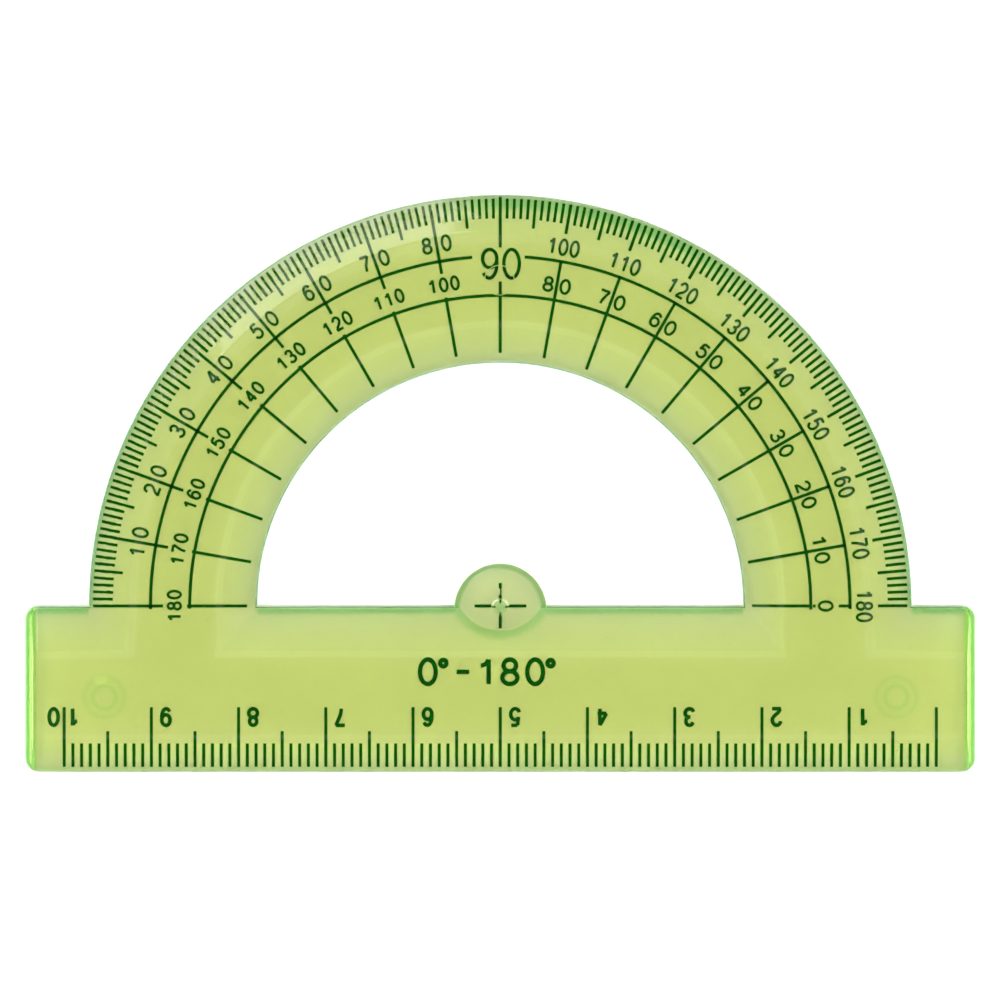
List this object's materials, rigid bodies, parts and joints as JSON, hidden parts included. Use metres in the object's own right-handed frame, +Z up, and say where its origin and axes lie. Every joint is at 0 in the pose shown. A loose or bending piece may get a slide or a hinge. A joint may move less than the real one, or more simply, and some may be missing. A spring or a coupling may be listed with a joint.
{
  "type": "drawing protractor",
  "caption": "Flat half-round drawing protractor in clear tinted plastic, with a D-shaped window, a straight ruler base and printed angle and length scales.",
  "frame": {"origin": "the centre point of the angle scale, on the underside of the plate", "axes": "+X along the ruler, to the right as the numbers are read; +Y towards the 90 degree mark; +Z up, out of the bevelled face"},
  "size_m": [0.109, 0.0663, 0.002],
  "materials": {
    "clear_plastic": "clear yellow-green tint, polished, see-through",
    "scale_ink": "opaque dark green printing ink"
  },
  "bodies": {
    "root": {"protractor_plate": "clear_plastic", "degree_ticks": "scale_ink", "outer_numbers_left": "scale_ink", "outer_numbers_right": "scale_ink", "ninety_mark": "scale_ink", "outer_arc_line_left": "scale_ink", "outer_arc_line_right": "scale_ink", "inner_numbers_left": "scale_ink", "inner_numbers_right": "scale_ink", "inner_arc_line": "scale_ink", "centre_mark_left": "scale_ink", "centre_mark_right": "scale_ink", "centre_mark_upper": "scale_ink", "centre_mark_lower": "scale_ink", "ruler_ticks": "scale_ink", "ruler_numbers": "scale_ink", "range_mark": "scale_ink"}
  },
  "joints": []
}
